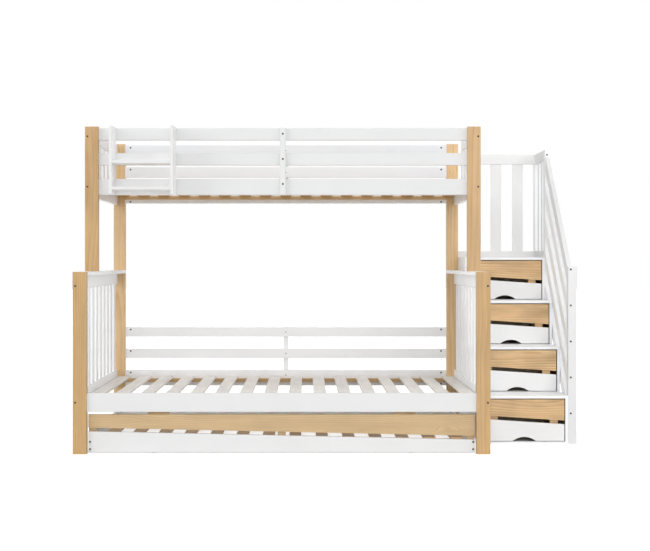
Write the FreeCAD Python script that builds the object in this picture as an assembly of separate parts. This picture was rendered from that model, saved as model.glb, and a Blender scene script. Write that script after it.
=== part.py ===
import FreeCAD
import Part
import math
import os
from FreeCAD import Vector

# Bunk bed: a wide lower bunk, a narrower upper bunk flush at the back, a trundle below
# and a stair with drawers at the right end. Millimetres, +Z up, front towards -Y.

# Bed frame
bed_length = 2050.0
bed_depth = 1455.0
upper_depth = 1085.0
lower_height = 895.0
post_width = 68.0
post_depth = 45.0
cap_thickness = 19.0
board_thickness = 22.0
edge_round = 2.5
lower_recess = 12.0
upper_recess = 20.0
panel_inset = 2.0
brace_width = 30.0

# Lower bunk
lower_rail_bottom = 207.0
lower_rail_height = 93.0
lower_ledger_rise = 24.0
lower_guard_bottom = 370.0
lower_guard_height = 57.0
lower_guard_gap = 71.0
lower_end_drop = 7.0
lower_end_rise = 4.0
lower_end_top_height = 63.0

# Upper bunk
upper_rail_rise = 397.0
upper_rail_height = 83.0
upper_ledger_rise = 22.0
upper_low_gap = 71.0
upper_high_gap = 67.0
upper_guard_height = 63.0
upper_post_reveal = 6.0
upper_end_drop = 9.0
upper_end_rise = 10.0
entry_width = 360.0
entry_post_width = 45.0

# Slats, ledgers and the upright slats of the end panels
ledger_width = 30.0
ledger_height = 20.0
slat_thickness = 14.0
slat_end_gap = 1.0
deck_edge = 6.0
lower_slat_width = 66.0
lower_slat_gap = 62.0
upper_slat_width = 66.0
upper_slat_gap = 53.0
end_slat_width = 62.0
end_slat_gap = 66.0
end_slat_edge = 60.0
end_slat_thickness = 14.0

# Hanging shelf
shelf_offset = 142.0
shelf_width = 328.0
shelf_depth = 147.0
shelf_thickness = 15.5
shelf_lower_rise = 20.0

# Trundle
trundle_depth = 1020.0
trundle_recess = 20.0
trundle_side_gap = 6.0
trundle_top_gap = 13.0
trundle_floor_gap = 7.0
trundle_front_thickness = 18.0
trundle_split_gap = 18.0
trundle_rail_thickness = 18.0
trundle_rail_height = 100.0
trundle_ledger_width = 56.0
trundle_batten_width = 40.0
trundle_batten_thickness = 16.0
trundle_batten_margin = 14.0
trundle_block_width = 104.0
trundle_block_height = 60.0
trundle_block_rise = 11.0
trundle_slat_width = 60.0
trundle_slat_gap = 70.0
trundle_slat_edge = 40.0
trundle_split_left_share = 0.602
trundle_split_right_share = 0.387
trundle_block_share = 0.32

# Casters
wheel_radius = 20.0
wheel_width = 18.0
wheel_edge_round = 2.0
wheel_top_gap = 4.0
wheel_side_gap = 1.0
fork_thickness = 3.0
fork_length = 28.0
fork_plate_length = 30.0
fork_plate_width = 52.0
axle_diameter = 6.0
axle_head_diameter = 10.0
axle_head_height = 2.0
axle_clearance = 0.05
caster_share = 0.335

# Stair
stair_width = 500.0
first_rise = 250.0
step_rise = 240.0
step_going = 227.0
landing_depth = 391.0
tread_thickness = 15.0
tread_nosing = 3.0
base_thickness = 12.0
stair_side_thickness = 15.0
stair_back_thickness = 9.0
step_count = 4

# Stair guard
newel_width = 45.0
newel_depth = 42.0
newel_cover = 15.0
guard_thickness = 25.0
landing_post_depth = 48.0
landing_guard_height = 612.0
landing_top_rail_height = 57.0
landing_bottom_rail_height = 38.0
landing_back_inset = 14.0
landing_back_slat_width = 61.0
landing_back_slat_gap = 65.0
landing_back_slat_edge = 68.0
landing_side_slat_width = 38.0
landing_side_slat_gap = 70.0
landing_side_slat_edge = 73.0
slope_rail_thickness = 22.5
slope_rail_height = 84.0
slope_rail_pitch = 186.7
slope_rail_first = 158.0
slope_rail_sink = 12.0
handrail_drop = 41.0
slope_rail_count = 5

# Stair drawers
drawer_reveal = 4.0
drawer_lift = 3.0
drawer_glide_gap = 0.5
drawer_front_thickness = 15.0
drawer_split_gap = 19.0
drawer_batten_width = 43.0
drawer_batten_inset = 31.0
drawer_batten_thickness = 15.0
drawer_batten_margin = 16.0
drawer_wall = 12.0
drawer_floor_thickness = 6.0
drawer_floor_rise = 25.0
drawer_rear_gap = 17.0
finger_slot_width = 120.0
finger_slot_height = 21.0
drawer_side_share = 0.62
drawer_split_left_share = 0.569
drawer_split_right_share = 0.445

# Fasteners
bolt_diameter = 6.0
bolt_head_diameter = 10.0
bolt_head_height = 5.0
bolt_sink = 1.0
bolt_clearance = 0.25
bolt_grip = 40.0
bolt_socket_width = 5.0
bolt_socket_depth = 3.0
nut_diameter = 10.0
nut_setback = 32.0
nut_cover = 2.0
nut_clearance = 0.2
pin_diameter = 10.0
pin_grip = 30.0
cut_overrun = 5.0
rail_nut_shares = (0.12, 0.84)
board_nut_share = 0.76
low_end_bolt_share = 0.5
lower_top_bolt_share = 0.2
upper_top_bolt_share = 0.29
rail_brace_share = 0.67
board_brace_share = 0.5
stair_bolt_shares = (0.72, 0.84)
trundle_bolt_shares = (0.16, 0.52)
round_limit_share = 0.35

# Planes and levels worked out from the sizes above
x_left = -(bed_length + stair_width) / 2
x_right = x_left + bed_length
x_stair = x_right + stair_width
y_front = -bed_depth / 2
y_back = bed_depth / 2
y_upper = y_back - upper_depth
x_middle = (x_left + x_right) / 2
cap_bottom = lower_height - cap_thickness
lower_rail_top = lower_rail_bottom + lower_rail_height
upper_rail_bottom = lower_height + upper_rail_rise
upper_rail_top = upper_rail_bottom + upper_rail_height
upper_mid_bottom = upper_rail_top + upper_low_gap
upper_mid_top = upper_mid_bottom + upper_guard_height
upper_top_bottom = upper_mid_top + upper_high_gap
upper_guard_top = upper_top_bottom + upper_guard_height
upper_post_top = upper_guard_top + upper_post_reveal
between_posts = (x_left + post_width, x_right - post_width)

along_x = Vector(1, 0, 0)
along_y = Vector(0, 1, 0)
along_z = Vector(0, 0, 1)

nodes = {}


def add(name, *solids):
    nodes.setdefault(name, []).extend(solids)


def box(x, y, z):
    return Part.makeBox(x[1] - x[0], y[1] - y[0], z[1] - z[0], Vector(x[0], y[0], z[0]))


def ease(solid, direction, thin):
    radius = min(edge_round, round_limit_share * thin)
    edges = []
    for edge in solid.Edges:
        run = edge.Vertexes[-1].Point - edge.Vertexes[0].Point
        if run.cross(direction).Length < run.Length * 1e-6:
            edges.append(edge)
    return solid.makeFillet(radius, edges)


def bar(x, y, z, direction):
    # A board or post with its long edges eased
    spans = [x[1] - x[0], y[1] - y[0], z[1] - z[0]]
    cross = [span for span, part in zip(spans, direction) if part == 0]
    return ease(box(x, y, z), direction, min(cross))


def span_from(start, length):
    return (start, start + length)


def centred(middle, length):
    return (middle - length / 2, middle + length / 2)


def spread(start, end, width, gap, edge):
    # Spans of equal slats, as many as fit with at least the given gap
    room = end - start - 2 * edge
    count = max(int((room + gap) / (width + gap)), 1)
    pitch = (room - width) / max(count - 1, 1)
    return [span_from(start + edge + i * pitch, width) for i in range(count)]


def mirrored(span, middle):
    return (2 * middle - span[1], 2 * middle - span[0])


def drill(names, tool):
    for name in names:
        kept = []
        for solid in nodes[name]:
            if solid.BoundBox.intersect(tool.BoundBox):
                kept.extend(solid.cut(tool).Solids)
            else:
                kept.append(solid)
        nodes[name] = kept


def bolt(start, direction, reach, names, group="frame_bolts"):
    # Socket-head bolt sunk just below the face at start, with its hole through the named pieces
    head_start = start + direction * bolt_sink
    shank_start = head_start + direction * bolt_head_height
    head = Part.makeCylinder(bolt_head_diameter / 2, bolt_head_height, head_start, direction)
    shank_length = reach - bolt_sink - bolt_head_height
    shank = Part.makeCylinder(bolt_diameter / 2, shank_length, shank_start, direction)
    corner = bolt_socket_width / math.sqrt(3)
    turns = [math.radians(60 * i) for i in range(7)]
    hexagon = Part.makePolygon([Vector(corner * math.cos(t), corner * math.sin(t), 0) for t in turns])
    socket = Part.Face(hexagon).extrude(along_z * bolt_socket_depth)
    socket.Placement = FreeCAD.Placement(head_start, FreeCAD.Rotation(along_z, direction))
    add(group, head.fuse(shank).removeSplitter().cut(socket).Solids[0])
    mouth = start - direction * cut_overrun
    recess_depth = cut_overrun + bolt_sink + bolt_head_height
    recess = Part.makeCylinder(bolt_head_diameter / 2 + bolt_clearance, recess_depth, mouth, direction)
    hole_length = cut_overrun + reach + bolt_clearance
    hole = Part.makeCylinder(bolt_diameter / 2 + bolt_clearance, hole_length, mouth, direction)
    drill(names, recess.fuse(hole))


def barrel_nut(centre, axis, bolt_direction, name):
    # Cross nut on a bolt, pushed in from the side that axis points to
    half = board_thickness / 2 - nut_cover
    far_end = centre - axis * half
    nut = Part.makeCylinder(nut_diameter / 2, 2 * half, far_end, axis)
    thread_start = centre - bolt_direction * nut_diameter
    thread_radius = bolt_diameter / 2 + bolt_clearance
    thread = Part.makeCylinder(thread_radius, 2 * nut_diameter, thread_start, bolt_direction)
    add("barrel_nuts", nut.cut(thread).Solids[0])
    hole_length = half + board_thickness / 2 + cut_overrun
    drill([name], Part.makeCylinder(nut_diameter / 2 + nut_clearance, hole_length, far_end, axis))


def board_joint(start, direction, post_size, nut_axis, post, board):
    # Bolt through a post into a barrel nut near the end of a board
    barrel_nut(start + direction * (post_size + nut_setback), nut_axis, direction, board)
    bolt(start, direction, post_size + nut_setback + nut_diameter, [post, board])


def end_x(side):
    # Span of an end panel across the bed, near the outer face of its posts
    span = span_from(x_left + panel_inset, board_thickness)
    return span if side == "left" else mirrored(span, x_middle)


def post_x(side):
    span = span_from(x_left, post_width)
    return span if side == "left" else mirrored(span, x_middle)


def make_posts():
    front = span_from(y_front, post_depth)
    back = (y_back - post_depth, y_back)
    upper_front = span_from(y_upper, post_depth)
    upper_z = (lower_height, upper_post_top)
    for side in ("left", "right"):
        x = post_x(side)
        add(f"lower_front_{side}_post", bar(x, front, (0, lower_height), along_z))
        add(f"lower_back_{side}_post", bar(x, back, (0, cap_bottom), along_z))
        add(f"upper_front_{side}_post", bar(x, upper_front, upper_z, along_z))
        add(f"upper_back_{side}_post", bar(x, back, upper_z, along_z))
        add("post_caps", bar(x, (y_front + post_depth, y_back), (cap_bottom, lower_height), along_y))
        for y in (upper_front, back):
            foot = Vector(sum(x) / 2, sum(y) / 2, cap_bottom)
            pin_length = cap_thickness + pin_grip
            add("post_pins", Part.makeCylinder(pin_diameter / 2, pin_length, foot, along_z))
            socket_length = pin_length + bolt_clearance
            socket = Part.makeCylinder(pin_diameter / 2 + bolt_clearance, socket_length, foot, along_z)
            upright = "front" if y == upper_front else "back"
            drill(["post_caps", f"upper_{upright}_{side}_post"], socket)


def upright_slats(name, x, y, z):
    thickness = centred(sum(x) / 2, end_slat_thickness)
    for slat_y in spread(y[0], y[1], end_slat_width, end_slat_gap, end_slat_edge):
        add(name, bar(thickness, slat_y, z, along_z))


def make_lower_ends():
    y = (y_front + post_depth, y_back - post_depth)
    bottom = (lower_rail_bottom - lower_end_drop, lower_rail_top + lower_end_rise)
    top = (cap_bottom - lower_end_top_height, cap_bottom)
    for side in ("left", "right"):
        name = f"lower_{side}_end_panel"
        x = end_x(side)
        add(name, bar(x, y, bottom, along_y), bar(x, y, top, along_y))
        upright_slats(name, x, y, (bottom[1], top[0]))


def make_upper_ends():
    y = (y_upper + post_depth, y_back - post_depth)
    bottom = (upper_rail_bottom - upper_end_drop, upper_rail_top + upper_end_rise)
    top = (upper_top_bottom, upper_guard_top)
    entry_y = (y[1] - entry_width - entry_post_width, y[1] - entry_width)
    for side in ("left", "right"):
        name = f"upper_{side}_end_panel"
        x = end_x(side)
        guard_y = y if side == "left" else (y[0], entry_y[0])
        add(name, bar(x, y, bottom, along_y), bar(x, guard_y, top, along_y))
        upright_slats(name, x, guard_y, (bottom[1], top[0]))
    entry_post = bar(end_x("right"), entry_y, (bottom[1], upper_guard_top), along_z)
    add("upper_right_end_panel", entry_post)


def side_y(level, side):
    # Span of a long rail or guard board through the bed, set in from the post faces
    if level == "lower":
        front = span_from(y_front + lower_recess, board_thickness)
    else:
        front = span_from(y_upper + upper_recess, board_thickness)
    if side == "front":
        return front
    recess = lower_recess if level == "lower" else upper_recess
    return (y_back - recess - board_thickness, y_back - recess)


def make_long_boards():
    lower_guards = []
    for i in range(2):
        guard_bottom = lower_guard_bottom + i * (lower_guard_height + lower_guard_gap)
        lower_guards.append(span_from(guard_bottom, lower_guard_height))
    lower_rail = (lower_rail_bottom, lower_rail_top)
    upper_rail = (upper_rail_bottom, upper_rail_top)
    upper_guards = [(upper_mid_bottom, upper_mid_top), (upper_top_bottom, upper_guard_top)]
    for side in ("front", "back"):
        add(f"lower_{side}_rail", bar(between_posts, side_y("lower", side), lower_rail, along_x))
        add(f"upper_{side}_rail", bar(between_posts, side_y("upper", side), upper_rail, along_x))
        for z in upper_guards:
            add(f"upper_{side}_guards", bar(between_posts, side_y("upper", side), z, along_x))
    for z in lower_guards:
        add("lower_guard_boards", bar(between_posts, side_y("lower", "back"), z, along_x))
    return lower_guards, upper_guards


def make_deck(level, front_y, rail_bottom, ledger_rise, width, gap):
    ledger_z = span_from(rail_bottom + ledger_rise, ledger_height)
    front = span_from(side_y(level, "front")[1], ledger_width)
    back_face = side_y(level, "back")[0]
    back = (back_face - ledger_width, back_face)
    for y in (front, back):
        add("slat_ledgers", bar(between_posts, y, ledger_z, along_x))
    slat_y = (front_y + post_depth + slat_end_gap, y_back - post_depth - slat_end_gap)
    slat_z = span_from(ledger_z[1], slat_thickness)
    for x in spread(end_x("left")[1], end_x("right")[0], width, gap, deck_edge):
        add(f"{level}_slats", bar(x, slat_y, slat_z, along_y))


def make_braces(lower_guards, upper_guards):
    x = centred(x_middle, brace_width)
    lower_y = (side_y("lower", "back")[1], y_back)
    upper_front_y = (y_upper, side_y("upper", "front")[0])
    upper_back_y = (side_y("upper", "back")[1], y_back)
    upper_z = (upper_rail_bottom, upper_guard_top)
    add("guard_braces", bar(x, lower_y, (lower_rail_bottom, lower_guards[-1][1]), along_z))
    add("guard_braces", bar(x, upper_front_y, upper_z, along_z))
    add("guard_braces", bar(x, upper_back_y, upper_z, along_z))
    places = [
        (y_back, -along_y, lower_recess, (lower_rail_bottom, lower_rail_top), "lower_back_rail"),
        (y_upper, along_y, upper_recess, (upper_rail_bottom, upper_rail_top), "upper_front_rail"),
        (y_back, -along_y, upper_recess, (upper_rail_bottom, upper_rail_top), "upper_back_rail"),
    ]
    boards = [
        (lower_guards, "lower_guard_boards"),
        (upper_guards, "upper_front_guards"),
        (upper_guards, "upper_back_guards"),
    ]
    for (y, direction, recess, rail, rail_name), (guards, guard_name) in zip(places, boards):
        reach = recess + board_thickness
        rail_z = rail[0] + rail_brace_share * (rail[1] - rail[0])
        bolt(Vector(x_middle, y, rail_z), direction, reach, ["guard_braces", rail_name])
        for guard in guards:
            guard_z = guard[0] + board_brace_share * (guard[1] - guard[0])
            bolt(Vector(x_middle, y, guard_z), direction, reach, ["guard_braces", guard_name])


def make_shelf():
    x = span_from(x_left + shelf_offset, shelf_width)
    back = side_y("upper", "front")[0]
    y = (back - shelf_depth, back)
    z = (upper_rail_bottom, upper_guard_top)
    add("hanging_shelf", bar(span_from(x[0], shelf_thickness), y, z, along_z))
    add("hanging_shelf", bar((x[1] - shelf_thickness, x[1]), y, z, along_z))
    inside = (x[0] + shelf_thickness, x[1] - shelf_thickness)
    for bottom in (upper_rail_bottom + shelf_lower_rise, upper_mid_bottom):
        add("hanging_shelf", bar(inside, y, span_from(bottom, shelf_thickness), along_x))


def join_side(level, side, lower_guards, upper_guards):
    # Bolts along the bed through the posts into the long boards
    y = sum(side_y(level, side)) / 2
    rail_bottom = lower_rail_bottom if level == "lower" else upper_rail_bottom
    rail_height = lower_rail_height if level == "lower" else upper_rail_height
    nut_axis = along_y if side == "front" else -along_y
    heights = [(rail_bottom + share * rail_height, f"{level}_{side}_rail") for share in rail_nut_shares]
    if level == "upper":
        guards, guard_name = upper_guards, f"upper_{side}_guards"
    else:
        guards, guard_name = lower_guards if side == "back" else [], "lower_guard_boards"
    for guard in guards:
        heights.append((guard[0] + board_nut_share * (guard[1] - guard[0]), guard_name))
    for z, board in heights:
        left_post = f"{level}_{side}_left_post"
        right_post = f"{level}_{side}_right_post"
        board_joint(Vector(x_left, y, z), along_x, post_width, nut_axis, left_post, board)
        board_joint(Vector(x_right, y, z), -along_x, post_width, nut_axis, right_post, board)


def join_ends():
    # Bolts through the posts into the end panels
    lower_top = cap_bottom - lower_end_top_height * (1 - lower_top_bolt_share)
    lower_low = lower_rail_bottom + low_end_bolt_share * lower_rail_height
    upper_top = upper_top_bottom + upper_top_bolt_share * upper_guard_height
    upper_low = upper_rail_bottom + low_end_bolt_share * upper_rail_height
    for side in ("left", "right"):
        x = sum(end_x(side)) / 2
        nut_axis = along_x if side == "left" else -along_x
        for level, front, heights in (
            ("lower", y_front, (lower_low, lower_top)),
            ("upper", y_upper, (upper_low, upper_top)),
        ):
            panel = f"{level}_{side}_end_panel"
            for z in heights:
                front_post = f"{level}_front_{side}_post"
                back_post = f"{level}_back_{side}_post"
                board_joint(Vector(x, front, z), along_y, post_depth, nut_axis, front_post, panel)
                if side == "left" or z != upper_top:
                    board_joint(Vector(x, y_back, z), -along_y, post_depth, nut_axis, back_post, panel)
    x = sum(end_x("right")) / 2
    entry_back = y_back - post_depth - entry_width
    panel = "upper_right_end_panel"
    entry = Vector(x, entry_back, upper_top)
    board_joint(entry, -along_y, entry_post_width, -along_x, panel, panel)
    panel_bottom = upper_rail_bottom - upper_end_drop
    panel_height = upper_end_drop + upper_rail_height + upper_end_rise
    foot = Vector(x, entry_back - entry_post_width / 2, panel_bottom)
    bolt(foot, along_z, panel_height + bolt_grip, [panel])


def slanted_board(x, y, z_left, z_right):
    # Front board whose top or bottom edge runs at a slant: spans of height at its two ends
    corners = [
        Vector(x[0], y[0], z_left[0]),
        Vector(x[1], y[0], z_right[0]),
        Vector(x[1], y[0], z_right[1]),
        Vector(x[0], y[0], z_left[1]),
    ]
    face = Part.Face(Part.makePolygon(corners + corners[:1]))
    solid = face.extrude(along_y * (y[1] - y[0]))
    front_edges = [edge for edge in solid.Edges if edge.BoundBox.YMax < y[0] + edge_round / 2]
    return solid.makeFillet(min(edge_round, round_limit_share * (y[1] - y[0])), front_edges)


def split_front(x, y, z, left_share, right_share, gap):
    # The two boards of a front, with a slanted gap between them
    height = z[1] - z[0]
    left = centred(z[0] + left_share * height, gap)
    right = centred(z[0] + right_share * height, gap)
    upper = slanted_board(x, y, (left[1], z[1]), (right[1], z[1]))
    lower = slanted_board(x, y, (z[0], left[0]), (z[0], right[0]))
    return upper, lower


def make_trundle():
    x = (between_posts[0] + trundle_side_gap, between_posts[1] - trundle_side_gap)
    y = span_from(y_front + trundle_recess, trundle_depth)
    front_y = span_from(y[0], trundle_front_thickness)
    front_z = (trundle_floor_gap, lower_rail_bottom - trundle_top_gap)
    shares = (trundle_split_left_share, trundle_split_right_share)
    upper, lower = split_front(x, front_y, front_z, shares[0], shares[1], trundle_split_gap)
    add("trundle_upper_front", upper)
    add("trundle_lower_front", lower)

    # Frame behind the front: two sides, a back and the ledgers under the slats
    frame_z = span_from(trundle_floor_gap, trundle_rail_height)
    left = span_from(x[0], trundle_rail_thickness)
    right = (x[1] - trundle_rail_thickness, x[1])
    inside = (left[1], right[0])
    batten_y = span_from(front_y[1], trundle_batten_thickness)
    left_batten = span_from(x[0], trundle_batten_width)
    right_batten = mirrored(left_batten, x_middle)
    side_run = (batten_y[1], y[1])
    back = (y[1] - trundle_rail_thickness, y[1])
    fork_top = 2 * wheel_radius + wheel_top_gap + fork_thickness
    ledger_z = span_from(fork_top, ledger_height)
    front_ledger = span_from(front_y[1], trundle_ledger_width)
    back_ledger = (back[0] - trundle_ledger_width, back[0])
    add("trundle_frame", bar(left, side_run, frame_z, along_y), bar(right, side_run, frame_z, along_y))
    add("trundle_frame", bar(inside, back, frame_z, along_x))
    between_battens = (left_batten[1], right_batten[0])
    add("trundle_frame", bar(between_battens, front_ledger, ledger_z, along_x))
    add("trundle_frame", bar(inside, back_ledger, ledger_z, along_x))
    slat_z = span_from(ledger_z[1], slat_thickness)
    slat_y = (front_y[1] + slat_end_gap, back[0] - slat_end_gap)
    for slat in spread(inside[0], inside[1], trundle_slat_width, trundle_slat_gap, trundle_slat_edge):
        add("trundle_slats", bar(slat, slat_y, slat_z, along_y))

    # Battens that join the two front boards, the middle one above the slats, and blocks behind
    batten_top = front_z[1] - trundle_batten_margin
    for batten_x in (left_batten, right_batten):
        add("trundle_battens", bar(batten_x, batten_y, (frame_z[0], batten_top), along_z))
    middle_batten = centred(x_middle, trundle_batten_width)
    add("trundle_battens", bar(middle_batten, batten_y, (slat_z[1], batten_top), along_z))
    block_z = (front_z[1] + trundle_block_rise - trundle_block_height, front_z[1] + trundle_block_rise)
    for sign in (-1, 1):
        middle = x_middle + sign * trundle_block_share * (x[1] - x[0])
        add("trundle_battens", bar(centred(middle, trundle_block_width), batten_y, block_z, along_x))

    for rail in (left, right):
        for share in trundle_bolt_shares:
            start = Vector(sum(rail) / 2, y[0], frame_z[0] + share * trundle_rail_height)
            reach = trundle_front_thickness + bolt_grip
            names = ["trundle_lower_front", "trundle_battens", "trundle_frame"]
            bolt(start, along_y, reach, names, "trundle_bolts")

    for depth, ledger in (("front", front_ledger), ("back", back_ledger)):
        for side, sign in (("left", -1), ("right", 1)):
            caster_x = x_middle + sign * caster_share * (x[1] - x[0])
            make_caster(f"{depth}_{side}_wheel", caster_x, sum(ledger) / 2, fork_top)


def make_caster(name, x, y, top):
    axle_z = wheel_radius
    inner = wheel_width / 2 + wheel_side_gap
    outer = inner + fork_thickness
    bore = axle_diameter / 2 + axle_clearance

    plate_bottom = top - fork_thickness
    plate = box(centred(x, fork_plate_width), centred(y, fork_plate_length), (plate_bottom, top))
    cheek_z = (axle_z - axle_diameter, plate_bottom)
    left_cheek = box((x - outer, x - inner), centred(y, fork_length), cheek_z)
    right_cheek = box((x + inner, x + outer), centred(y, fork_length), cheek_z)
    fork = plate.fuse([left_cheek, right_cheek]).removeSplitter()
    hole = Part.makeCylinder(bore, 2 * outer, Vector(x - outer, y, axle_z), along_x)
    add("caster_forks", fork.cut(hole).Solids[0])

    pin = Part.makeCylinder(axle_diameter / 2, 2 * outer, Vector(x - outer, y, axle_z), along_x)
    heads = [
        Part.makeCylinder(axle_head_diameter / 2, axle_head_height, Vector(x + outer, y, axle_z), along_x),
        Part.makeCylinder(axle_head_diameter / 2, axle_head_height, Vector(x - outer, y, axle_z), -along_x),
    ]
    add("caster_axles", pin.fuse(heads).removeSplitter())

    tyre = Part.makeCylinder(wheel_radius, wheel_width, Vector(x - wheel_width / 2, y, axle_z), along_x)
    rims = [edge for edge in tyre.Edges if len(edge.Vertexes) == 1]
    tyre = tyre.makeFillet(min(wheel_edge_round, round_limit_share * wheel_width), rims)
    add(name, tyre.cut(hole).Solids[0])


def tread_top(step):
    return first_rise + (step - 1) * step_rise


def step_front(step):
    return y_back - landing_depth - (step_count - step) * step_going


def make_stair():
    inner = span_from(x_right, stair_side_thickness)
    outer_face = x_stair - newel_width
    outer = (outer_face - stair_side_thickness, outer_face)
    bay = (inner[1], outer[0])

    # Stepped side panels
    outline = [Vector(0, step_front(1), 0)]
    for step in range(1, step_count + 1):
        underside = tread_top(step) - tread_thickness
        outline.append(Vector(0, step_front(step), underside))
        back = step_front(step + 1) if step < step_count else y_back
        outline.append(Vector(0, back, underside))
    outline.append(Vector(0, y_back, 0))
    profile = Part.Face(Part.makePolygon(outline + outline[:1]))
    for x in (inner, outer):
        panel = profile.extrude(along_x * stair_side_thickness)
        panel.translate(along_x * x[0])
        add("stair_side_panels", panel)

    # Treads reach back between the side panels as the floor of the bay above
    bay_depth = landing_depth - stair_back_thickness
    add("stair_treads", box(bay, span_from(step_front(1), bay_depth), (0, base_thickness)))
    for step in range(1, step_count + 1):
        z = (tread_top(step) - tread_thickness, tread_top(step))
        last = step == step_count
        front_y = (step_front(step) - tread_nosing, y_back if last else step_front(step + 1))
        tread = bar((inner[0], outer_face), front_y, z, along_x)
        if not last:
            floor = box(bay, span_from(step_front(step + 1) - tread_thickness, bay_depth), z)
            tread = tread.fuse(floor).removeSplitter()
        add("stair_treads", tread)
    back_z = (0, tread_top(step_count) - tread_thickness)
    add("stair_back_panel", box(bay, (y_back - stair_back_thickness, y_back), back_z))
    for share in stair_bolt_shares:
        start = Vector(inner[1], y_back - post_depth / 2, share * lower_height)
        names = ["stair_side_panels", "lower_back_right_post"]
        bolt(start, -along_x, stair_side_thickness + bolt_grip, names)
    for step in range(1, step_count + 1):
        make_drawer(step, bay)
    make_stair_guard(outer_face)


def make_drawer(step, bay):
    name = f"drawer_{step}"
    floor = base_thickness if step == 1 else tread_top(step - 1)
    ceiling = tread_top(step) - tread_thickness
    x = (bay[0] + drawer_reveal, bay[1] - drawer_reveal)
    z = (floor + drawer_lift, ceiling - drawer_reveal)
    front_y = span_from(step_front(step), drawer_front_thickness)
    shares = (drawer_split_left_share, drawer_split_right_share)
    upper, lower = split_front(x, front_y, z, shares[0], shares[1], drawer_split_gap)

    # Half-moon finger slot at the bottom edge
    half = finger_slot_width / 2
    radius = (half**2 + finger_slot_height**2) / (2 * finger_slot_height)
    centre = Vector(sum(x) / 2, front_y[0] - cut_overrun, z[0] + finger_slot_height - radius)
    slot = Part.makeCylinder(radius, drawer_front_thickness + 2 * cut_overrun, centre, along_y)
    add(f"{name}_lower_front", lower.cut(slot).Solids[0])
    add(f"{name}_upper_front", upper)

    batten_y = span_from(front_y[1], drawer_batten_thickness)
    batten_z = (z[0] + finger_slot_height + drawer_batten_margin, z[1] - drawer_batten_margin)
    left = span_from(x[0] + drawer_batten_inset, drawer_batten_width)
    for batten in (left, mirrored(left, sum(x) / 2)):
        add(f"{name}_upper_front", bar(batten, batten_y, batten_z, along_z))

    box_y = (front_y[1], step_front(step) + landing_depth - stair_back_thickness - drawer_rear_gap)
    box_z = span_from(floor + drawer_glide_gap, drawer_side_share * (ceiling - floor))
    left_wall = span_from(left[0], drawer_wall)
    right_wall = mirrored(left_wall, sum(x) / 2)
    inside = (left_wall[1], right_wall[0])
    wall_y = (batten_y[1], box_y[1])
    back_y = (box_y[1] - drawer_wall, box_y[1])
    floor_z = span_from(box_z[0] + drawer_floor_rise, drawer_floor_thickness)
    add(f"{name}_box", box(left_wall, wall_y, box_z), box(right_wall, wall_y, box_z))
    add(f"{name}_box", box(inside, back_y, box_z), box(inside, (box_y[0], back_y[0]), floor_z))


def make_stair_guard(inner_face):
    x = span_from(inner_face, guard_thickness)
    middle = sum(x) / 2
    newel_y = span_from(step_front(1), newel_depth)
    post_front = step_front(step_count)
    front_post = span_from(post_front, landing_post_depth)
    back_post = (y_back - landing_post_depth, y_back)
    landing = tread_top(step_count)
    guard_top = landing + landing_guard_height

    # Heights of the sloped rails at the newel; the handrail ends flush with the newel top
    bolts = [slope_rail_first + i * slope_rail_pitch for i in range(slope_rail_count)]
    newel_top = bolts[-1] + newel_cover
    climb = guard_top - handrail_drop - newel_top
    heights = [centred(z - slope_rail_sink, slope_rail_height) for z in bolts[:-1]]
    heights.append((newel_top - slope_rail_height, newel_top))

    # Sloped rails between newel and front landing post, flush with the outer face of the post
    rail_x = (x[1] - slope_rail_thickness, x[1])
    for low, high in heights:
        corners = [
            Vector(rail_x[0], newel_y[1], low),
            Vector(rail_x[0], post_front, low + climb),
            Vector(rail_x[0], post_front, high + climb),
            Vector(rail_x[0], newel_y[1], high),
        ]
        rail = Part.Face(Part.makePolygon(corners + corners[:1])).extrude(along_x * slope_rail_thickness)
        add("stair_rails", ease(rail, corners[1] - corners[0], slope_rail_thickness))
    add("newel_post", bar((inner_face, x_stair), newel_y, (0, newel_top), along_z))
    for z in bolts:
        names = ["newel_post", "stair_rails"]
        bolt(Vector(sum(rail_x) / 2, newel_y[0], z), along_y, newel_depth + bolt_grip, names)

    # Landing posts lap the outer side panel down to the lowest sloped rail
    post_z = (heights[0][0] + climb, guard_top)
    for y in (front_post, back_post):
        add("landing_posts", bar(x, y, post_z, along_z))
    top = (guard_top - landing_top_rail_height, guard_top)
    bottom = span_from(landing, landing_bottom_rail_height)
    slat_z = (bottom[1], top[0])
    thickness = centred(middle, end_slat_thickness)
    run = (front_post[1], back_post[0])
    add("landing_side_guard", bar(x, run, top, along_y), bar(x, run, bottom, along_y))
    edge, gap = landing_side_slat_edge, landing_side_slat_gap
    for y in spread(run[0], run[1], landing_side_slat_width, gap, edge):
        add("landing_side_guard", bar(thickness, y, slat_z, along_z))
    for rail in (top, bottom):
        names = ["landing_posts", "landing_side_guard"]
        for face, direction in ((post_front, along_y), (y_back, -along_y)):
            bolt_start = Vector(middle, face, sum(rail) / 2)
            bolt(bolt_start, direction, landing_post_depth + bolt_grip, names)

    back_y = (y_back - landing_back_inset - board_thickness, y_back - landing_back_inset)
    back_x = (x_right, inner_face)
    back_thickness = centred(sum(back_y) / 2, end_slat_thickness)
    add("landing_back_guard", bar(back_x, back_y, top, along_x), bar(back_x, back_y, bottom, along_x))
    edge, gap = landing_back_slat_edge, landing_back_slat_gap
    for slat_x in spread(back_x[0], back_x[1], landing_back_slat_width, gap, edge):
        add("landing_back_guard", bar(slat_x, back_thickness, slat_z, along_z))


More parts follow.
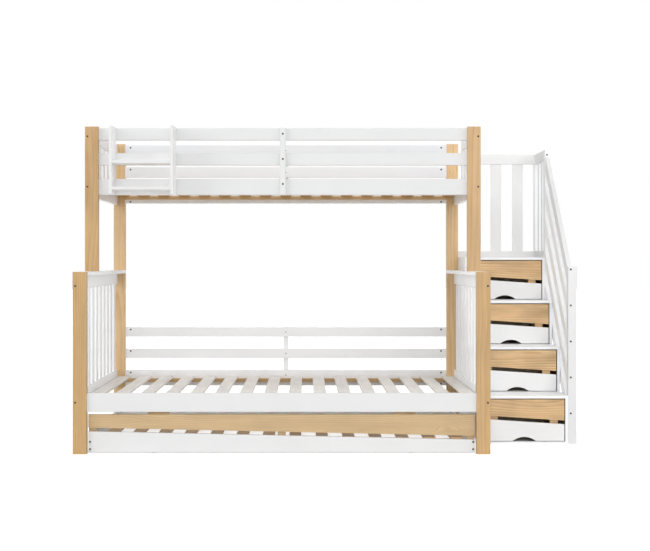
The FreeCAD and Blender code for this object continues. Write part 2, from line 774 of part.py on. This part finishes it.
make_posts()
make_lower_ends()
make_upper_ends()
lower_guard_spans, upper_guard_spans = make_long_boards()
make_deck("lower", y_front, lower_rail_bottom, lower_ledger_rise, lower_slat_width, lower_slat_gap)
make_deck("upper", y_upper, upper_rail_bottom, upper_ledger_rise, upper_slat_width, upper_slat_gap)
make_braces(lower_guard_spans, upper_guard_spans)
make_shelf()
for bunk in ("lower", "upper"):
    for bed_side in ("front", "back"):
        join_side(bunk, bed_side, lower_guard_spans, upper_guard_spans)
join_ends()
make_trundle()
make_stair()

os.makedirs("parts", exist_ok=True)
for node, solids in nodes.items():
    shape = solids[0] if len(solids) == 1 else Part.makeCompound(solids)
    shape.exportStep(f"parts/{node}.step")
print(len(nodes), "nodes,", sum(len(solids) for solids in nodes.values()), "solids")
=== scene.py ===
import bpy
import bmesh
import math
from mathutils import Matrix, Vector

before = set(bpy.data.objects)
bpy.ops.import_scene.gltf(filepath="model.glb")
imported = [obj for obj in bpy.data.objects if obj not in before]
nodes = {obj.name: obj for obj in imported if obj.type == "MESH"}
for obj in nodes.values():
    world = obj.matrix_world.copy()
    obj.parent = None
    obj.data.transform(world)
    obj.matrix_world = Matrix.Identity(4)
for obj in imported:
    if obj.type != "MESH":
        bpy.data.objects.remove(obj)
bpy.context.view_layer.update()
print("bed loaded:", len(nodes), "pieces")
mm = 0.001  # in metres


def linear(hexText):  # sRGB hex to linear colour
    parts = [int(hexText[i:i + 2], 16) / 255 for i in (0, 2, 4)]
    return [p / 12.92 if p <= 0.04045 else ((p + 0.055) / 1.055) ** 2.4 for p in parts] + [1.0]


def addNode(tree, kind, sockets=(), stops=(), **settings):  # one node with its settings and links
    node = tree.nodes.new("ShaderNode" + kind)
    for key, value in settings.items():
        setattr(node, key, value)
    for key, value in sockets.items() if isinstance(sockets, dict) else enumerate(sockets):
        if isinstance(value, bpy.types.NodeSocket):
            tree.links.new(value, node.inputs[key])
        else:
            node.inputs[key].default_value = value
    if stops:  # of a colour ramp, each a position and an sRGB hex
        elements = node.color_ramp.elements
        elements.remove(elements[1])
        elements[0].position, elements[0].color = stops[0][0], linear(stops[0][1])
        for position, hexText in stops[1:]:
            elements.new(position).color = linear(hexText)
    return node.outputs


def startMaterial(name):
    material = bpy.data.materials.new(name)
    material.use_nodes = True
    material.node_tree.nodes.clear()
    return material, material.node_tree


edgeLook = {"flat": 0.985, "eased": 0.80}  # largest part of the normal on a flat face and on an eased edge


def edgeMask(tree, tilt=0.0):  # 1 on the eased edges, where the surface faces between two axes
    normal = addNode(tree, "TexCoord")["Normal"]
    if tilt:
        normal = addNode(tree, "VectorRotate", {"Vector": normal, "Angle": tilt}, rotation_type="X_AXIS")[0]
    absolute = addNode(tree, "VectorMath", (normal,), operation="ABSOLUTE")[0]
    split = addNode(tree, "SeparateXYZ", (absolute,))
    largest = addNode(tree, "Math", (split["X"], split["Y"]), operation="MAXIMUM")[0]
    largest = addNode(tree, "Math", (largest, split["Z"]), operation="MAXIMUM")[0]
    sockets = (largest, edgeLook["flat"], edgeLook["eased"], 0.0, 1.0)
    return addNode(tree, "MapRange", sockets, interpolation_type="SMOOTHSTEP")[0]


def cornersOf(name):
    box = nodes[name].bound_box
    return Vector(box[0]), Vector(box[6])


def centreOf(name):
    low, high = cornersOf(name)
    return tuple((low + high) / 2)


axisOrder = {"x": ("X", "Y", "Z"), "y": ("Y", "Z", "X"), "z": ("Z", "X", "Y")}
alone = 50.0  # metres between boards where a piece holds only one


def boardPlace(tree, grain, centre, pitch):  # place within one board, along the grain first, and its luck
    place = addNode(tree, "TexCoord")["Object"]
    place = addNode(tree, "VectorMath", (place, centre), operation="SUBTRACT")[0]
    cell = addNode(tree, "VectorMath", (place, pitch), operation="DIVIDE")[0]
    cell = addNode(tree, "VectorMath", (cell, (0.5, 0.5, 0.5)), operation="ADD")[0]
    cell = addNode(tree, "VectorMath", (cell,), operation="FLOOR")[0]
    middle = addNode(tree, "VectorMath", (cell, pitch), operation="MULTIPLY")[0]
    place = addNode(tree, "VectorMath", (place, middle), operation="SUBTRACT")[0]
    seeded = addNode(tree, "VectorMath", (cell, centre), operation="ADD")[0]
    luck = addNode(tree, "TexWhiteNoise", {"Vector": seeded}, noise_dimensions="3D")
    split = addNode(tree, "SeparateXYZ", (place,))
    return addNode(tree, "CombineXYZ", [split[axis] for axis in axisOrder[grain]])[0], luck


# Pine, planed and clear lacquered: pale early wood and honey late wood in fine rings round a heart
# outside the board, stretches where the grain fades, a rare small knot
# Sizes in millimetres, along the grain first; rings and fibres are drawn wider than real so that they show
pineLook = {
    "early": "CCAA7B", "middle": "C5A070", "late": "BA9462", "ringStops": (0.30, 0.66, 0.88),
    "ringWidth": 6.2, "heartNear": 45.0, "heartFar": 130.0, "heartAside": 60.0, "taper": 0.06,
    "wander": 26.0, "wanderSize": (909.09, 166.67, 166.67), "luckShift": (9.0, 7.0, 5.0),  # shift in metres
    "knot": "8A5F3A", "knots": 1.0, "knotSize": (769.23, 200.0, 200.0), "knotBend": 30.0, "knotDark": 0.75,
    "knotReach": 0.20, "knotRim": (0.018, 0.040),  # shares of that size
    "faint": 0.30, "faintSize": (454.55, 38.462, 38.462), "faintSpan": (0.36, 0.62),  # grain fades out
    "fibreSize": (200.0, 3.0303, 3.0303), "fibreSpan": (0.30, 0.70), "fibreTone": (0.93, 1.06),
    "cloudSize": (222.22, 76.923, 76.923), "cloudSpan": (0.35, 0.65), "cloudTone": (0.93, 1.05),
    "boardTone": (0.95, 1.04),  # darkest and palest board
    # paintedShadeTop: a darker colour painted as shade on the upward faces, None for none
    "worn": "F1DDBD", "edge": 0.12, "paintedShadeTop": None, "topFacing": 0.9,
    "rough": (0.40, 0.54), "roughSpan": (0.25, 0.75), "bump": 0.30, "bumpDepth": 0.4, "ior": 1.5,
}


def pine(name, grain, centre, pitch=(alone, alone, alone), **changes):
    look = dict(pineLook, **changes)
    material, tree = startMaterial(name)
    placed, luck = boardPlace(tree, grain, centre, pitch)
    shift = addNode(tree, "VectorMath", (luck["Color"], look["luckShift"]), operation="MULTIPLY")[0]
    moved = addNode(tree, "VectorMath", (placed, shift), operation="ADD")[0]
    patterns = {}
    for pattern in ("wander", "knot", "faint", "fibre", "cloud"):
        scale = [1 / (size * mm) for size in look[pattern + "Size"]]
        patterns[pattern] = addNode(tree, "VectorMath", (moved, scale), operation="MULTIPLY")[0]

    # Rings round the heart, bent by slow wander and by knots
    aside, near, far = (look[key] * mm for key in ("heartAside", "heartNear", "heartFar"))
    nearest, farthest = (0, -aside, near), (0, aside, far)
    sockets = {"Vector": luck["Color"], 7: (0, 0, 0), 8: (1, 1, 1), 9: nearest, 10: farthest}
    heart = addNode(tree, "MapRange", sockets, data_type="FLOAT_VECTOR")["Vector"]
    across = addNode(tree, "VectorMath", (placed, (look["taper"], 1.0, 1.0)), operation="MULTIPLY")[0]
    offset = addNode(tree, "VectorMath", (across, heart), operation="SUBTRACT")[0]
    reach = addNode(tree, "VectorMath", (offset,), operation="LENGTH")["Value"]
    sockets = {"Vector": patterns["wander"], "Scale": 1.0, "Detail": 2.0, "Roughness": 0.45}
    slow = addNode(tree, "TexNoise", sockets)["Fac"]
    reach = addNode(tree, "Math", (slow, look["wander"] * mm, reach), operation="MULTIPLY_ADD")[0]
    sockets = {"Vector": patterns["knot"], "Scale": 1.0, "Randomness": 1.0}
    knotCell = addNode(tree, "TexVoronoi", sockets)["Distance"]
    sockets = (knotCell, 0.0, look["knotReach"], look["knotBend"] * mm * look["knots"], 0.0)
    knotBend = addNode(tree, "MapRange", sockets, interpolation_type="SMOOTHSTEP")[0]
    reach = addNode(tree, "Math", (reach, knotBend), operation="ADD")[0]
    rings = addNode(tree, "Math", (reach, look["ringWidth"] * mm), operation="DIVIDE")[0]
    rings = addNode(tree, "Math", (rings,), operation="FRACT")[0]
    pale, honeyed, dark = look["ringStops"]
    stops = [(0.0, look["early"]), (pale, look["early"]), (honeyed, look["middle"]),
             (dark, look["late"]), (1.0, look["early"])]
    ringColour = addNode(tree, "ValToRGB", (rings,), stops)["Color"]
    sockets = {"Vector": patterns["faint"], "Scale": 1.0, "Detail": 1.0, "Roughness": 0.5}
    patch = addNode(tree, "TexNoise", sockets)["Fac"]
    patch = addNode(tree, "MapRange", (patch, *look["faintSpan"], look["faint"], 1.0))[0]
    sockets = {0: patch, 6: linear(look["middle"]), 7: ringColour}
    ringColour = addNode(tree, "Mix", sockets, data_type="RGBA")[2]

    # Tone from fibres, from board to board, and from paler and darker stretches
    sockets = {"Vector": patterns["fibre"], "Scale": 1.0, "Detail": 3.0, "Roughness": 0.6}
    fibre = addNode(tree, "TexNoise", sockets)["Fac"]
    streak = addNode(tree, "MapRange", (fibre, *look["fibreSpan"], *look["fibreTone"]))[0]
    board = addNode(tree, "MapRange", (luck["Value"], 0.0, 1.0, *look["boardTone"]))[0]
    sockets = {"Vector": patterns["cloud"], "Scale": 1.0, "Detail": 2.0, "Roughness": 0.5}
    cloud = addNode(tree, "TexNoise", sockets)["Fac"]
    cloud = addNode(tree, "MapRange", (cloud, *look["cloudSpan"], *look["cloudTone"]))[0]
    tone = addNode(tree, "Math", (streak, board), operation="MULTIPLY")[0]
    tone = addNode(tree, "Math", (tone, cloud), operation="MULTIPLY")[0]
    colour = addNode(tree, "VectorMath", {0: ringColour, "Scale": tone}, operation="SCALE")[0]

    # Knots, rubbed edges, and painted shade on the upper edge where a look asks for it
    sockets = (knotCell, *look["knotRim"], look["knotDark"] * look["knots"], 0.0)
    knotDark = addNode(tree, "MapRange", sockets, interpolation_type="SMOOTHSTEP")[0]
    colour = addNode(tree, "Mix", {0: knotDark, 6: colour, 7: linear(look["knot"])}, data_type="RGBA")[2]
    worn = addNode(tree, "Math", (edgeMask(tree), look["edge"]), operation="MULTIPLY")[0]
    colour = addNode(tree, "Mix", {0: worn, 6: colour, 7: linear(look["worn"])}, data_type="RGBA")[2]
    if look["paintedShadeTop"]:
        rise = addNode(tree, "SeparateXYZ", (addNode(tree, "TexCoord")["Normal"],))["Z"]
        upward = addNode(tree, "Math", (rise, look["topFacing"]), operation="GREATER_THAN")[0]
        sockets = {0: upward, 6: colour, 7: linear(look["paintedShadeTop"])}
        colour = addNode(tree, "Mix", sockets, data_type="RGBA")[2]

    height = addNode(tree, "Math", (fibre, rings), operation="MULTIPLY")[0]
    sockets = {"Strength": look["bump"], "Distance": look["bumpDepth"] * mm, "Height": height}
    shader = addNode(tree, "BsdfPrincipled", {
        "Base Color": colour, "Normal": addNode(tree, "Bump", sockets)[0], "IOR": look["ior"],
        "Roughness": addNode(tree, "MapRange", (fibre, *look["roughSpan"], *look["rough"]))[0]})
    addNode(tree, "OutputMaterial", {"Surface": shader["BSDF"]})
    return material


railSlope = 0.9721  # rise over run of the sloped rails

# Satin white paint sprayed on pine: even white, a hint of the fibres below, thinner on the eased edges
# Sizes in millimetres, heights and places in metres
paintLook = {
    "white": "F5F6F7", "shade": "F0F1F2", "cloudSize": 333.33, "cloudStops": (0.35, 0.62),
    "thin": "E2DBCF", "speckSize": 4.1667, "speckSpan": (0.45, 0.70), "speckShare": (0.15, 0.55),
    "litRailGrey": "DDDEDE", "litRailAbove": None,  # painted light: greyer top rail, toned down for the stronger light on it, above this height at Y 0 on the slope
    "shadedBare": "86673F", "shadedBareMiddle": None, "shadedBareFacing": -0.1,  # painted shade: dark brown of bare wood deep in shade, where a panel faces this X
    "aside": None, "asideFacing": -0.5,  # painted light and shade: colour of the faces turned away from the front, darker or paler than the rest
    "low": "F2F2F2", "shadeLiftHeights": (1.357, 1.577),  # painted light: paler colour low down, where shade falls, fading out between these heights
    "shadeLiftAcross": None,  # middle and half width of that stretch along X
    "peelSize": 2.381, "bump": 0.20, "bumpDepth": 0.3,  # spray texture, coarser than real so that it shows
    "rough": (0.37, 0.49), "roughSpan": (0.3, 0.7), "ior": 1.5,
}


def whitePaint(name, tilt=0.0, **changes):
    look = dict(paintLook, **changes)
    material, tree = startMaterial(name)
    place, normal = (addNode(tree, "TexCoord")[key] for key in ("Object", "Normal"))
    sockets = {"Vector": place, "Scale": 1 / (look["cloudSize"] * mm), "Detail": 3.0, "Roughness": 0.55}
    cloud = addNode(tree, "TexNoise", sockets)["Fac"]
    shadeStop, whiteStop = look["cloudStops"]
    stops = [(shadeStop, look["shade"]), (whiteStop, look["white"])]
    colour = addNode(tree, "ValToRGB", (cloud,), stops)["Color"]
    sockets = {"Vector": place, "Scale": 1 / (look["speckSize"] * mm), "Detail": 2.0, "Roughness": 0.5}
    speck = addNode(tree, "TexNoise", sockets)["Fac"]
    speck = addNode(tree, "MapRange", (speck, *look["speckSpan"], *look["speckShare"]))[0]
    layers = []  # share and colour of each layer over the white
    worn = addNode(tree, "Math", (edgeMask(tree, tilt), speck), operation="MULTIPLY")[0]
    layers.append((worn, look["thin"]))
    if look["litRailAbove"] is not None:
        height = addNode(tree, "VectorMath", (place, (0, -railSlope, 1)), operation="DOT_PRODUCT")["Value"]
        litRailGrey = addNode(tree, "Math", (height, look["litRailAbove"]), operation="GREATER_THAN")[0]
        layers.append((litRailGrey, look["litRailGrey"]))
    if look["shadedBareMiddle"] is not None:
        offset = addNode(tree, "VectorMath", (place, (look["shadedBareMiddle"], 0, 0)), operation="SUBTRACT")[0]
        facing = addNode(tree, "VectorMath", (offset, normal), operation="MULTIPLY")[0]
        facing = addNode(tree, "SeparateXYZ", (facing,))["X"]
        shadedBare = addNode(tree, "Math", (facing, look["shadedBareFacing"]), operation="LESS_THAN")[0]
        layers.append((shadedBare, look["shadedBare"]))
    if look["aside"]:
        facing = addNode(tree, "SeparateXYZ", (normal,))["Y"]
        aside = addNode(tree, "Math", (facing, look["asideFacing"]), operation="GREATER_THAN")[0]
        layers.append((aside, look["aside"]))
    if look["shadeLiftAcross"]:
        split = addNode(tree, "SeparateXYZ", (place,))
        within = addNode(tree, "Math", (split["X"], *look["shadeLiftAcross"]), operation="COMPARE")[0]
        low = addNode(tree, "MapRange", (split["Z"], *look["shadeLiftHeights"], 1.0, 0.0))[0]
        low = addNode(tree, "Math", (within, low), operation="MULTIPLY")[0]
        layers.append((low, look["low"]))
    for share, over in layers:
        colour = addNode(tree, "Mix", {0: share, 6: colour, 7: linear(over)}, data_type="RGBA")[2]
    sockets = {"Vector": place, "Scale": 1 / (look["peelSize"] * mm), "Detail": 1.0, "Roughness": 0.5}
    peel = addNode(tree, "TexNoise", sockets)["Fac"]
    sockets = {"Strength": look["bump"], "Distance": look["bumpDepth"] * mm, "Height": peel}
    shader = addNode(tree, "BsdfPrincipled", {
        "Base Color": colour, "Normal": addNode(tree, "Bump", sockets)[0], "IOR": look["ior"],
        "Roughness": addNode(tree, "MapRange", (cloud, *look["roughSpan"], *look["rough"]))[0]})
    addNode(tree, "OutputMaterial", {"Surface": shader["BSDF"]})
    return material


# Black oxide steel: dark, slightly brown, soft shine; its grain in millimetres, coarser than real to show
steelLook = {"deep": "2B241D", "light": "453A30", "size": 1.6667, "rough": (0.35, 0.55), "metal": 0.4}


def blackSteel(name):
    material, tree = startMaterial(name)
    sockets = {"Vector": addNode(tree, "TexCoord")["Object"], "Scale": 1 / (steelLook["size"] * mm),
               "Detail": 2.0, "Roughness": 0.5}
    cloud = addNode(tree, "TexNoise", sockets)["Fac"]
    stops = [(0.3, steelLook["deep"]), (0.7, steelLook["light"])]
    shader = addNode(tree, "BsdfPrincipled", {
        "Base Color": addNode(tree, "ValToRGB", (cloud,), stops)["Color"], "Metallic": steelLook["metal"],
        "Roughness": addNode(tree, "MapRange", (cloud, 0.0, 1.0, *steelLook["rough"]))[0]})
    addNode(tree, "OutputMaterial", {"Surface": shader["BSDF"]})
    return material


# Zinc plated steel: bluish grey, bright, faint spangle of this size in millimetres
zincLook = {"deep": "B9BCBF", "light": "D2D3D2", "size": 2.8571, "rough": (0.28, 0.42), "metal": 1.0}


def zincSteel(name):
    material, tree = startMaterial(name)
    sockets = {"Vector": addNode(tree, "TexCoord")["Object"], "Scale": 1 / (zincLook["size"] * mm)}
    spangle = addNode(tree, "TexVoronoi", sockets)["Distance"]
    stops = [(0.0, zincLook["deep"]), (0.8, zincLook["light"])]
    shader = addNode(tree, "BsdfPrincipled", {
        "Base Color": addNode(tree, "ValToRGB", (spangle,), stops)["Color"], "Metallic": zincLook["metal"],
        "Roughness": addNode(tree, "MapRange", (spangle, 0.0, 1.0, *zincLook["rough"]))[0]})
    addNode(tree, "OutputMaterial", {"Surface": shader["BSDF"]})
    return material


# Moulded nylon for the wheels: near black, fine moulding texture, its size and depth in millimetres
nylonLook = {"deep": "1E1E20", "light": "2B2B2D", "size": 1.1111, "rough": 0.55, "bump": 0.3,
             "bumpDepth": 0.2}


def wheelNylon(name):
    material, tree = startMaterial(name)
    sockets = {"Vector": addNode(tree, "TexCoord")["Object"], "Scale": 1 / (nylonLook["size"] * mm),
               "Detail": 2.0, "Roughness": 0.5}
    fine = addNode(tree, "TexNoise", sockets)["Fac"]
    stops = [(0.3, nylonLook["deep"]), (0.7, nylonLook["light"])]
    sockets = {"Strength": nylonLook["bump"], "Distance": nylonLook["bumpDepth"] * mm, "Height": fine}
    shader = addNode(tree, "BsdfPrincipled", {
        "Base Color": addNode(tree, "ValToRGB", (fine,), stops)["Color"], "Roughness": nylonLook["rough"],
        "Normal": addNode(tree, "Bump", sockets)[0]})
    addNode(tree, "OutputMaterial", {"Surface": shader["BSDF"]})
    return material


def dress(material, *names):
    for name in names:
        slots = nodes[name].data.materials
        slots.clear()
        slots.append(material)


# Posts: early, middle and late wood of each; painted light: the back posts, which stand in shade, are paler
# and the front posts, in full light, darker
paleBackPostForShade = ("DFC093", "DAB788", "CEA979")
posts = {
    "lower_front_left_post": ("BA9967", "B49160", "AA8654"),
    "lower_front_right_post": ("C09F6F", "BA9768", "B08C5C"),
    "upper_front_left_post": ("C3A171", "BC9766", "AF8857"),
    "upper_front_right_post": ("C7A67A", "C09D70", "B38D60"),
    "lower_back_left_post": paleBackPostForShade,
    "lower_back_right_post": paleBackPostForShade,
    "upper_back_left_post": paleBackPostForShade,
    "upper_back_right_post": ("E6C697", "E1BD8C", "D5AF7D"),
}
for name, (early, middle, late) in posts.items():
    dress(pine(f"pine_lacquered_{name}", "z", centreOf(name), early=early, middle=middle, late=late), name)

# Natural fronts of trundle and drawers
trundleFront = dict(early="C8AE85", middle="BFA278", late="B19064", wander=40.0)
for name in ("trundle_upper_front", "trundle_battens"):
    dress(pine(f"pine_lacquered_{name}", "x", centreOf(name), **trundleFront), name)
drawerFront = dict(early="DEBE90", middle="D2AB7B", late="B98E5B", ringWidth=9.5, wander=60.0, taper=0.11,
                   paintedShadeTop="6E5233", cloudTone=(0.82, 1.10))  # painted shade: dark upper edge, for the shadow in the gap below the tread
for step in range(1, 5):
    name = f"drawer_{step}_upper_front"
    dress(pine(f"pine_lacquered_{name}", "x", centreOf(name), **drawerFront), name)

# Slats and ledgers
ledgerPitch = (alone, 0.9, 1.0)  # keeps front from back and upper from lower
dress(pine("pine_lacquered_ledgers", "x", centreOf("slat_ledgers"), ledgerPitch), "slat_ledgers")
slatPitch = {"upper_slats": 0.12025, "lower_slats": 0.128267, "trundle_slats": 0.132769}  # middle to middle
washedPaleForShade = dict(early="F8F7F4", middle="F5F2EE", late="EEE9E2", knot="CDBBA2", edge=0.25)  # thin white wash, made paler still as painted light against the shade under the upper bunk
for name, looks in (("upper_slats", {}), ("trundle_slats", {}), ("lower_slats", washedPaleForShade)):
    pitch = slatPitch[name]
    low, high = cornersOf(name)
    gaps = int((high[0] - low[0]) / pitch)
    slatMiddle = (low + high) / 2 + Vector((pitch / 2 if gaps % 2 else 0.0, 0, 0))  # on a slat, not a gap
    dress(pine(f"pine_planed_{name}", "y", tuple(slatMiddle), (pitch, alone, alone), **looks), name)

# Drawer boxes, metal and wheels
boxPly = dict(early="EDE3CF", middle="E8DBC2", late="DDCCAE", knots=0.0)  # birch ply, even and pale
for step in range(1, 5):
    name = f"drawer_{step}_box"
    dress(pine(f"birch_ply_drawer_{step}", "y", centreOf(name), **boxPly), name)
dress(blackSteel("steel_black_oxide"), "frame_bolts", "trundle_bolts", "barrel_nuts")
dress(zincSteel("steel_zinc_plated"), "post_pins", "caster_forks", "caster_axles")
dress(wheelNylon("nylon_moulded_wheel"), *[n for n in nodes if n.endswith("_wheel")])

# White pieces: painted light, one paint in several whites: brighter inside, where less light comes in, and
# greyer on the open fronts, where more light falls
# Painted light: the top sloped rail is greyer, for the stronger light it takes
slopedRails = dict(white="F4F5F6", shade="EFF0F1", litRailAbove=1.084, tilt=-math.atan(railSlope))
dress(whitePaint("paint_satin_white_sloped_rails", **slopedRails), "stair_rails")
shelfSide = 0.008  # half the thickness of a shelf side
behindShelf = (centreOf("hanging_shelf")[0], nodes["hanging_shelf"].dimensions[0] / 2 - shelfSide)
fullWidth = (0.0, 2.0)  # takes in the whole bed
stairMiddle = centreOf("stair_treads")[0]
whites = {
    "inside": (dict(white="F8FAFC", shade="F4F6F8"), """post_caps lower_left_end_panel lower_right_end_panel
        lower_back_rail lower_guard_boards upper_back_rail upper_left_end_panel upper_right_end_panel
        stair_treads stair_back_panel trundle_frame"""),
    "side_guard": (dict(white="F8FAFC", shade="F4F6F8", aside="DADBDC"), "landing_side_guard"),
    # painted shade: dark brown on the faces inside the drawer bays
    "stair_sides": (dict(white="F7F9FC", shade="F2F4F7", shadedBareMiddle=stairMiddle), "stair_side_panels"),
    "drawers": (dict(white="EFEFEF", shade="EBEBEB"), """drawer_1_lower_front drawer_2_lower_front
        drawer_3_lower_front drawer_4_lower_front"""),
    "back_guards": (dict(white="E7EBF0", shade="E2E6EB", low="EFF3F8", shadeLiftAcross=fullWidth,
                         shadeLiftHeights=(1.53, 1.59)), "upper_back_guards"),
    "stair_guard": (dict(white="EAEAEA", shade="E5E5E5"), "landing_back_guard"),
    "landing": (dict(white="F8F9FA", shade="F4F5F6", aside="E6E6E7"), "landing_posts"),
    "newel": (dict(white="E3E3E4", shade="DEDEDF"), "newel_post"),
    "shelf": (dict(white="DCDDDD", shade="D8D9D9", aside="F6F6F6"), "hanging_shelf"),
    "fronts": (dict(white="DADBDB", shade="D6D7D7"), "lower_front_rail trundle_lower_front"),
    "braces": (dict(white="DADBDB", shade="D6D7D7", low="F8FAFC", shadeLiftAcross=fullWidth,
                    shadeLiftHeights=(0.7, 1.2)), "guard_braces"),
    # painted light: paler behind the hanging shelf, in its shade
    "upper_fronts": (dict(white="DADBDB", shade="D6D7D7", shadeLiftAcross=behindShelf), """upper_front_rail
        upper_front_guards"""),
}
for name, (looks, places) in whites.items():
    dress(whitePaint(f"paint_satin_white_{name}", **looks), *places.split())
print("finishes done")

# Floor, light and camera; each sun has its level, spread, azimuth and height in degrees
stageLook = {
    "floor": "F4F4F4", "floorLift": 0.66, "floorSize": 40.0, "floorDrop": 0.0005, "ambient": 0.38,
    "suns": {"front": (0.34, 40.0, 2.0, 6.0), "left": (0.34, 40.0, -60.0, 18.0),
             "right": (0.22, 40.0, 60.0, 20.0), "top": (0.26, 60.0, 0.0, 80.0)},
}
paper = (1, 1, 1, 1)


def seenRays(tree):  # 1 where the camera sees the background, straight, in a reflection or through glass
    rays = addNode(tree, "LightPath")
    seen = addNode(tree, "Math", (rays["Is Camera Ray"], rays["Is Glossy Ray"]), operation="MAXIMUM")[0]
    return addNode(tree, "Math", (seen, rays["Is Transmission Ray"]), operation="MAXIMUM")[0]


floorMesh = bpy.data.meshes.new("studio_floor")
floor = bpy.data.objects.new("studio_floor", floorMesh)
bpy.context.scene.collection.objects.link(floor)
shape = bmesh.new()
bmesh.ops.create_grid(shape, x_segments=1, y_segments=1, size=stageLook["floorSize"])
bmesh.ops.translate(shape, verts=shape.verts, vec=(0, 0, -stageLook["floorDrop"]))
shape.to_mesh(floorMesh)
shape.free()
floorFinish, tree = startMaterial("floor_pale")
lift = addNode(tree, "Math", (seenRays(tree), stageLook["floorLift"]), operation="MULTIPLY")[0]
matte = addNode(tree, "BsdfDiffuse", {"Color": linear(stageLook["floor"])})[0]
glow = addNode(tree, "Emission", {"Color": paper, "Strength": lift})[0]
addNode(tree, "OutputMaterial", {"Surface": addNode(tree, "AddShader", (matte, glow))[0]})
floorMesh.materials.append(floorFinish)

world = bpy.data.worlds.new("studio_white")
bpy.context.scene.world = world
world.use_nodes = True
tree = world.node_tree
tree.nodes.clear()
power = addNode(tree, "MapRange", (seenRays(tree), 0.0, 1.0, stageLook["ambient"], 1.0))[0]
sky = addNode(tree, "Background", {"Color": paper, "Strength": power})[0]
addNode(tree, "OutputWorld", {"Surface": sky})


def softSun(name, level, spread, azimuth, height):  # level 1 shows a colour as written where it falls square
    data = bpy.data.lights.new(name, "SUN")
    data.energy, data.angle = level * math.pi, math.radians(spread)
    lamp = bpy.data.objects.new(name, data)
    turn, rise = math.radians(azimuth), math.radians(height)
    ray = Vector((-math.sin(turn) * math.cos(rise), math.cos(turn) * math.cos(rise), -math.sin(rise)))
    lamp.rotation_euler = ray.to_track_quat("-Z", "Y").to_euler()
    bpy.context.scene.collection.objects.link(lamp)


for name, sun in stageLook["suns"].items():
    softSun(name, *sun)

# Fitted to the posts in the photo; sensor and lens in millimetres
cameraLook = {"place": (-0.130, -7.3105, 0.9435), "lens": 74.38, "sensor": 36.0,
              "shift": (0.02923, -0.02077)}
view = bpy.data.cameras.new("photo_view")
view.lens, view.sensor_width = cameraLook["lens"], cameraLook["sensor"]
view.shift_x, view.shift_y = cameraLook["shift"]
camera = bpy.data.objects.new("photo_view", view)
camera.location = cameraLook["place"]
camera.rotation_euler = (math.radians(90), 0, 0)
bpy.context.scene.collection.objects.link(camera)
bpy.context.scene.camera = camera
bpy.context.scene.view_settings.view_transform = "Standard"
print("stage done")
